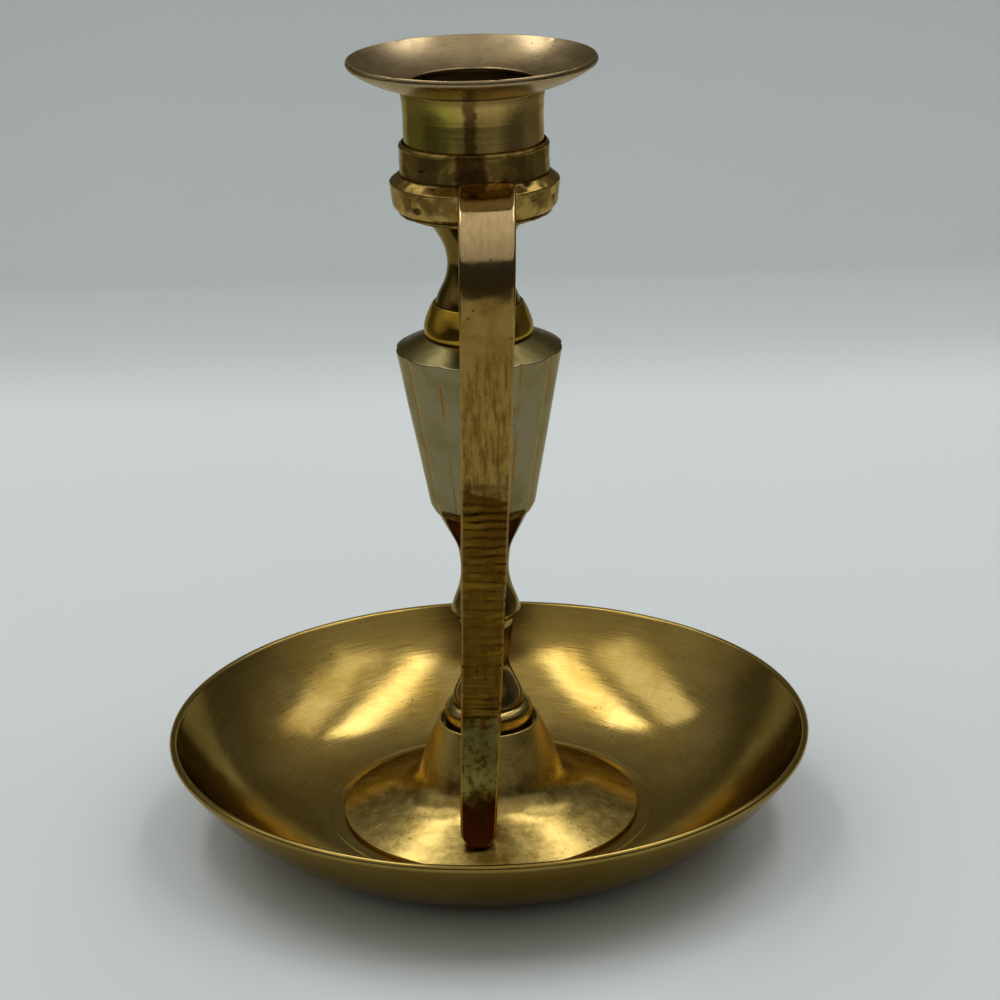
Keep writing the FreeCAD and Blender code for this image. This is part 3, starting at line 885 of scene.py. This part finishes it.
def brass(name, clean, stain, stain_size, stain_low, stain_high, shine, dullness, brush, pits, zones,
          direction=brush_vector, relief=0.003):
    """Aged brass: clean metal, stains, deposits and painted shade in inner corners, worn edges, brushing,
    dullness and pits.

    stain_low and stain_high are the noise values between which the stain sets in, shine is the
    roughness of clean metal, dullness is what a stain adds to it, and brush and pits are amounts.
    zones(shader, place) gives (share, colour, added roughness) for places with a colour of their own:
    tarnish, painted shade, painted highlights and painted reflections. relief is the height of the finest
    marks in millimetres."""
    shader = Shader(name)
    place = shader.place()
    corner = shader.attribute("corner")
    marks = direction(shader, place, *fine_marks)
    fine = shader.noise(marks, detail=5.0, roughness=0.65)
    coarse = shader.noise(direction(shader, place, *coarse_marks), detail=3.0, roughness=0.5)
    patches = shader.noise(place, scale=1.0 / stain_size, detail=7.0, roughness=0.62, distortion=0.4)
    cloud = shader.noise(place, scale=0.37 / stain_size, detail=3.0, roughness=0.5)
    stained = shader.ramp(patches, stain_low, stain_high)
    speck_inputs = {"Vector": place, "Scale": speck_density, "Randomness": 1.0}
    speck = shader.add("ShaderNodeTexVoronoi", speck_inputs, "Distance")
    speck_size = shader.ramp(shader.noise(place, scale=0.23, detail=2.0), 0.42, 0.72, 0.0, largest_speck)
    pit = shader.times(shader.math("LESS_THAN", speck, speck_size), pits)

    colour = shader.mix(stained, clean, stain)
    warm = shader.times(shader.ramp(cloud, 0.35, 0.65), warm_share)
    colour = shader.mix(warm, colour, tinted(clean, warm_tint))
    rough = shader.plus(shader.times(stained, dullness), shine)
    for share, tarnish, added in zones(shader, place):
        colour = shader.mix(share, colour, tarnish)
        rough = shader.plus(rough, shader.times(share, added))
    darker, lighter = brush_shade
    shade = shader.ramp(fine, 0.25, 0.75, 1.0 + darker * brush, 1.0 + lighter * brush)
    colour = shader.mix(1.0, colour, shader.grey(shade), "MULTIPLY")
    # Inner corners get darker: grime, and painted shade
    corner_darkening = shader.times(shader.ramp(corner, 0.0, -0.6), corner_darkening_share)
    colour = shader.mix(corner_darkening, colour, grime_and_shade)
    worn = shader.times(shader.ramp(corner, 0.15, 0.8), worn_share)
    colour = shader.mix(worn, colour, tinted(clean, worn_tint))
    colour = shader.mix(shader.times(pit, pit_share), colour, grime_and_shade)

    smoother, rougher = brush_roughness
    rough = shader.plus(rough, shader.ramp(fine, 0.3, 0.7, smoother * brush, rougher * brush))
    rough = shader.plus(rough, shader.times(corner_darkening, dirt_roughness), clamp=True)

    grain = shader.noise(place, scale=2.2, detail=5.0, roughness=0.7)
    height = shader.times(fine, brush)
    height = shader.plus(height, shader.times(coarse, coarse_height * brush))
    height = shader.plus(height, shader.times(grain, grain_height))
    height = shader.minus(height, shader.times(pit, pit_depth))
    bump = shader.add("ShaderNodeBump", {"Strength": 1.0, "Distance": relief * mm, "Height": height})

    shader.put(colour, shader.surface.inputs["Base Color"])
    shader.put(1.0, shader.surface.inputs["Metallic"])
    shader.put(rough, shader.surface.inputs["Roughness"])
    shader.put(glancing_tint, shader.surface.inputs["Specular Tint"])
    shader.put(bump, shader.surface.inputs["Normal"])
    return shader.material


def steel():
    """Plain dull steel with fine scratches."""
    shader = Shader("dull_steel")
    place = shader.place()
    stretched = shader.vector("MULTIPLY", {0: place, 1: (1.0, 1.0, 9.0)})
    scratch = shader.noise(stretched, scale=1.5, detail=5.0, roughness=0.6)
    spots = shader.ramp(shader.noise(place, scale=0.7, detail=5.0, roughness=0.6), 0.5, 0.7)
    shader.put(shader.mix(spots, steel_colour, rust_colour), shader.surface.inputs["Base Color"])
    shader.put(1.0, shader.surface.inputs["Metallic"])
    shader.put(shader.ramp(scratch, 0.3, 0.7, 0.28, 0.48), shader.surface.inputs["Roughness"])
    bump = shader.add("ShaderNodeBump", {"Strength": 0.3, "Distance": 0.02 * mm, "Height": scratch})
    shader.put(bump, shader.surface.inputs["Normal"])
    return shader.material


def card():
    """Matt card of table and wall, which differ softly in tone."""
    shader = Shader("matt_card")
    place = shader.place()
    tone = shader.ramp(shader.noise(place, scale=0.004, detail=3.0), 0.3, 0.7, 0.985, 1.015)
    colour = shader.mix(height_share(shader, place, 0.0, wall_tone_height), table_colour, wall_colour)
    shader.put(shader.mix(1.0, colour, shader.grey(tone), "MULTIPLY"), shader.surface.inputs["Base Color"])
    shader.put(0.75, shader.surface.inputs["Roughness"])
    shader.put(0.2, shader.surface.inputs["Specular IOR Level"])
    return shader.material


def front_painted_reflection(shader, place, half_width):
    """A painted reflection: a dark stripe down the middle of the front, where something dark in front of the
    object is mirrored.
    """
    sides = shader.axis(place, "X")
    depth = shader.axis(place, "Y")
    ragged = shader.wander(place, scale=0.5, detail=4.0, reach=2.2)
    away = shader.math("ABSOLUTE", shader.plus(shader.plus(sides, ragged), 0.7))
    narrow = shader.ramp(away, half_width + 0.5, half_width - 0.3)
    return shader.times(narrow, shader.ramp(depth, -8.0, -11.0))


def socket_zones(shader, place):
    """Olive left half, a dark stripe down the front that is a painted reflection, painted shade in the cove
    under the lip, a brown bore and a paler lip with a dull spot.
    """
    sides = shader.axis(place, "X")
    ragged = shader.wander(place, scale=0.5, detail=4.0, reach=2.2)
    olive = shader.times(shader.ramp(shader.plus(sides, ragged), -1.2, -3.2), 0.75)
    # The cove under the lip is darkened with painted shade
    cove = band(shader, place, *lip_cove_band)
    lip = height_share(shader, place, *lip_above)
    # The dark stripe down the front is a painted reflection
    run = shader.times(front_painted_reflection(shader, place, half_width=1.1), 0.85)
    inside = shader.ramp(shader.length(shader.level(place)), *bore_within)
    bore = shader.times(inside, height_share(shader, place, *bore_below))
    dull = spot(shader, place, centre=(-10.0, 9.0, 151.0), size=(11.0, 9.0, 6.0))
    return [
        (olive, lip_olive, 0.0),
        (run, barrel_painted_reflection, 0.05),
        (shader.times(cove, 0.7), lip_cove_shade, 0.0),
        (lip, lip_pale, 0.04),
        (shader.times(dull, 0.75), lip_dull, 0.08),
        (bore, bore_brown, 0.15),
    ]


def collar_zones(shader, place):
    """The painted reflection down the front goes on and widens on the collar's upper band, and two flaws are
    filled with dark deposits.
    """
    upper = height_share(shader, place, *collar_upper_above)
    # The painted reflection goes on up the front of the collar
    run = shader.times(front_painted_reflection(shader, place, half_width=2.6), upper)
    right_flaw = spot(shader, place, centre=(9.7, -12.4, 131.0), size=(1.3, 3.0, 0.55))
    left_flaw = spot(shader, place, centre=(-9.8, -11.6, 133.6), size=(0.9, 3.0, 0.5))
    return [
        (shader.times(run, 0.8), collar_painted_reflection, 0.05),
        (shader.times(right_flaw, 0.95), collar_flaw, 0.3),
        (shader.times(left_flaw, 0.95), collar_flaw, 0.3),
    ]


def strap_zones(shader, place):
    """Painted highlight on the bend, streaked middle, a lower half darkened with a painted reflection of the
    tray and crossed by lighter painted ripple reflections, a green patch and a dark tip.
    """
    sides = shader.axis(place, "X")
    height = shader.axis(place, "Z")
    ragged = shader.plus(height, shader.wander(place, scale=0.35, detail=4.0, reach=9.0))
    patches = strap_vector(shader, place, along=0.35, across=0.8)
    cloud = shader.noise(patches, detail=5.0, roughness=0.65)
    cloudy = shader.ramp(cloud, 0.38, 0.60, 0.62, 0.95)
    # Painted highlight on the bend, mottled like highlights on brushed brass
    bend = shader.times(shader.ramp(height, *strap_highlight_above), cloudy)
    lengthwise = strap_vector(shader, place, along=0.16, across=0.9)
    streak = shader.noise(lengthwise, detail=6.0, roughness=0.7)
    middle = shader.times(shader.ramp(height, *strap_streaks_below), 0.85)
    streaks = shader.times(shader.ramp(streak, 0.45, 0.60), middle)
    # Painted reflection of the tray: the lower half darkens below a slanted line
    slanted = shader.plus(height, shader.times(sides, 0.3))
    low = shader.ramp(slanted, *strap_reflection_below)
    # Painted ripple reflections: lighter bands across the lower half
    crosswise = strap_vector(shader, place, along=0.62, across=0.16)
    bar = shader.noise(crosswise, detail=3.0, roughness=0.5)
    ripple_bands = shader.times(shader.ramp(bar, 0.50, 0.66), low)
    green = shader.times(shader.ramp(ragged, *strap_green_below), shader.ramp(ragged, *strap_green_above))
    flecks = shader.noise(place, scale=0.9, detail=5.0, roughness=0.7)
    green = shader.times(green, shader.ramp(flecks, 0.36, 0.50, 0.45, 1.0))
    tip = shader.ramp(ragged, *strap_tip_below)
    return [
        (bend, strap_bend_highlight, 0.0),
        (streaks, strap_streak, 0.08),
        (shader.times(low, 0.92), strap_tray_reflection, 0.03),
        (shader.times(ripple_bands, 0.8), strap_ripple_reflection, 0.0),
        (shader.times(green, 0.85), strap_green, 0.25),
        (shader.times(tip, 0.9), strap_tip_brown, 0.05),
    ]


def urn_zones(shader, place):
    """Orange tarnish that runs down the grooves, and a browner plate."""
    turn = shader.math("ARCTAN2", shader.axis(place, "Y"), shader.axis(place, "X"))
    lobe = shader.math("FRACT", shader.times(turn, urn_flutes / (2 * math.pi)))
    away = shader.math("ABSOLUTE", shader.minus(lobe, 0.5))
    groove = shader.ramp(away, 0.445, 0.49)
    patchy = shader.ramp(shader.noise(place, scale=0.15, detail=3.0), 0.40, 0.52)
    plate = height_share(shader, place, *urn_plate_above)
    return [
        (shader.times(groove, patchy), urn_orange, 0.05),
        (shader.times(plate, 0.95), urn_plate_brown, 0.12),
    ]


def stem_zones(shader, place):
    """Brown waist, dark neck, golden knop, maroon under the urn and a paler bead below."""
    waist = band(shader, place, *waist_band)
    neck = height_share(shader, place, *neck_above)
    knop = band(shader, place, *knop_band)
    trumpet = band(shader, place, *trumpet_band)
    bead = height_share(shader, place, *bead_below)
    return [
        (shader.times(waist, 0.7), waist_brown, 0.05),
        (shader.times(neck, 0.9), neck_brown, 0.03),
        (shader.times(knop, 0.7), knop_gold, 0.0),
        (shader.times(trumpet, 0.85), trumpet_maroon, 0.0),
        (shader.times(bead, 0.4), bead_pale, 0.05),
    ]


def foot_zones(shader, place):
    """Lighter satin patches between the spots that are still polished, and a satin steep part."""
    satin = shader.ramp(shader.noise(place, scale=0.40, detail=7.0, roughness=0.68), 0.38, 0.62)
    steep = height_share(shader, place, *foot_steep_above)
    return [(satin, foot_satin, 0.07), (steep, foot_steep, 0.10)]


def tray_zones(shader, place):
    """Darker near the rim: a painted dark reflection."""
    cloud = shader.wander(place, scale=0.06, detail=3.0, reach=5.0)
    height = shader.plus(shader.axis(place, "Z"), cloud)
    return [(shader.times(shader.ramp(height, *tray_rim_above), 0.6), tray_rim_reflection, 0.04)]


def make_materials():
    return {
        "tray": brass("spun_brass", clean=(0.385, 0.275, 0.080), stain=(0.26, 0.168, 0.034),
                      stain_size=16.0, stain_low=0.42, stain_high=0.68, shine=0.08, dullness=0.08,
                      brush=0.7, pits=0.4, zones=tray_zones, relief=0.020),
        "turned": brass("turned_brass", clean=(0.34, 0.24, 0.060), stain=(0.21, 0.13, 0.022),
                        stain_size=6.0, stain_low=0.42, stain_high=0.66, shine=0.11, dullness=0.10,
                        brush=0.35, pits=0.4, zones=stem_zones),
        "foot": brass("foot_brass", clean=(0.33, 0.24, 0.070), stain=(0.25, 0.165, 0.040),
                      stain_size=3.5, stain_low=0.44, stain_high=0.62, shine=0.15, dullness=0.05,
                      brush=0.5, pits=0.4, zones=foot_zones, relief=0.016),
        "barrel": brass("barrel_brass", clean=(0.62, 0.425, 0.145), stain=(0.42, 0.275, 0.07),
                        stain_size=7.0, stain_low=0.40, stain_high=0.62, shine=0.18, dullness=0.10,
                        brush=0.5, pits=0.6, zones=socket_zones),
        "urn": brass("urn_brass", clean=(0.25, 0.22, 0.12), stain=(0.20, 0.16, 0.06),
                     stain_size=6.0, stain_low=0.46, stain_high=0.70, shine=0.16, dullness=0.10,
                     brush=0.25, pits=0.4, zones=urn_zones),
        "collar": brass("cast_brass", clean=(0.40, 0.27, 0.070), stain=(0.18, 0.105, 0.026),
                        stain_size=3.2, stain_low=0.42, stain_high=0.60, shine=0.19, dullness=0.10,
                        brush=0.3, pits=0.9, zones=collar_zones),
        "strap": brass("strap_brass", clean=(0.34, 0.215, 0.056), stain=(0.25, 0.14, 0.027),
                       stain_size=5.0, stain_low=0.42, stain_high=0.66, shine=0.065, dullness=0.09,
                       brush=0.5, pits=0.9, zones=strap_zones, direction=strap_vector),
        "steel": steel(),
    }


# Surroundings

def make_table():
    """Table that turns up in a small cove into the wall."""
    profile = [(table_front, 0.0), (table_back, 0.0)]
    for part in range(1, cove_parts + 1):
        angle = math.pi / 2 * part / cove_parts
        profile.append((table_back + cove_radius * math.sin(angle), cove_radius * (1 - math.cos(angle))))
    profile.append((table_back + cove_radius, wall_height))
    places = [(side * table_reach, y, z) for y, z in profile for side in (-1, 1)]
    faces = [(2 * index, 2 * index + 1, 2 * index + 3, 2 * index + 2) for index in range(len(profile) - 1)]
    mesh = bpy.data.meshes.new("table")
    mesh.from_pydata(places, [], faces)
    mesh.materials.append(card())
    mesh.polygons.foreach_set("use_smooth", [True] * len(mesh.polygons))
    table = bpy.data.objects.new("table", mesh)
    bpy.context.scene.collection.objects.link(table)


def add_strip(name, x, width, watts):
    """A long soft light on the ceiling that runs away from the camera."""
    lamp = bpy.data.lights.new(name, "AREA")
    lamp.shape = "RECTANGLE"
    lamp.size = width
    lamp.size_y = strip_far - strip_near
    lamp.energy = watts
    lamp.color = lamp_colour
    light = bpy.data.objects.new(name, lamp)
    light.location = (x, (strip_far + strip_near) / 2, ceiling)
    bpy.context.scene.collection.objects.link(light)


def make_room():
    """World: a pale ceiling, a dark room behind the camera and a faint window at the left."""
    world = bpy.data.worlds.new("room")
    bpy.context.scene.world = world
    world.use_nodes = True
    shader = Shader.on_tree(world.node_tree)
    direction = shader.add("ShaderNodeTexCoord", {}, "Generated")
    depth = shader.axis(direction, "Y")
    lift = shader.axis(direction, "Z")
    front = shader.curve(lift, room_front)
    behind = shader.curve(lift, room_behind)
    share = shader.ramp(depth, room_blend, -room_blend)
    toward = shader.vector("DOT_PRODUCT", {0: direction, 1: Vector(window_direction).normalized()}, "Value")
    window = shader.ramp(toward, window_spread, 1.0, 0.0, window_brightness)
    light = shader.plus(window, shader.mix(share, front, behind))
    shader.put(light, world.node_tree.nodes["Background"].inputs["Color"])


def add_camera():
    """Camera at the photograph's place and angle."""
    level = Vector((math.cos(camera_yaw), -math.sin(camera_yaw), 0))
    ahead = Vector((math.sin(camera_yaw), math.cos(camera_yaw), 0))
    forward = ahead * math.cos(camera_pitch) - Vector((0, 0, math.sin(camera_pitch)))
    up = level.cross(forward)
    right = level * math.cos(camera_roll) + up * math.sin(camera_roll)
    above = up * math.cos(camera_roll) - level * math.sin(camera_roll)
    data = bpy.data.cameras.new("camera")
    data.lens = camera_lens
    data.sensor_width = camera_sensor
    camera = bpy.data.objects.new("camera", data)
    axes = Matrix((right, above, -forward)).transposed()
    camera.matrix_world = Matrix.Translation(camera_place) @ axes.to_4x4()
    bpy.context.scene.collection.objects.link(camera)
    bpy.context.scene.camera = camera


def dress(piece, material, slot, *nodes):
    """Gives a piece its material, hangs it under the root body and hides the CAD nodes it stands for."""
    piece.data.materials.append(material)
    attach(piece, "root")
    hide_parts(*nodes)


materials = make_materials()
dress(make_tray(), materials["tray"], "spun_brass", "tray")
dress(make_foot(), materials["foot"], "turned_brass", "foot_cone")
dress(make_spindle("base_spindle", "lower_spindle"), materials["turned"], "turned_brass", "base_spindle")
dress(make_spindle("taper", "trumpet"), materials["turned"], "turned_brass", "taper")
dress(make_urn(), materials["urn"], "cast_brass", "fluted_urn")
dress(make_spindle("knop", "round_knop"), materials["turned"], "turned_brass", "knop")
dress(make_spindle("neck", "slim_neck"), materials["turned"], "turned_brass", "neck")
dress(make_collar(), materials["collar"], "cast_brass", "handle")
dress(make_strap(), materials["strap"], "cast_brass", "handle")
dress(make_socket(), materials["barrel"], "turned_brass", "candle_socket")
for name in ("tie_rod", "tie_washer", "tie_nut"):
    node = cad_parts[name]
    node.data.materials.clear()
    node.data.materials.append(materials["steel"])

make_table()
add_strip("inner_left", -inner_strip_x, inner_strip_width, inner_strip_watts)
add_strip("inner_right", inner_strip_x, inner_strip_width, inner_strip_watts)
add_strip("outer_left", -outer_strip_x, outer_strip_width, outer_strip_watts)
add_strip("outer_right", outer_strip_x, outer_strip_width, outer_strip_watts)
make_room()
add_camera()
bpy.context.scene.view_settings.view_transform = "Standard"
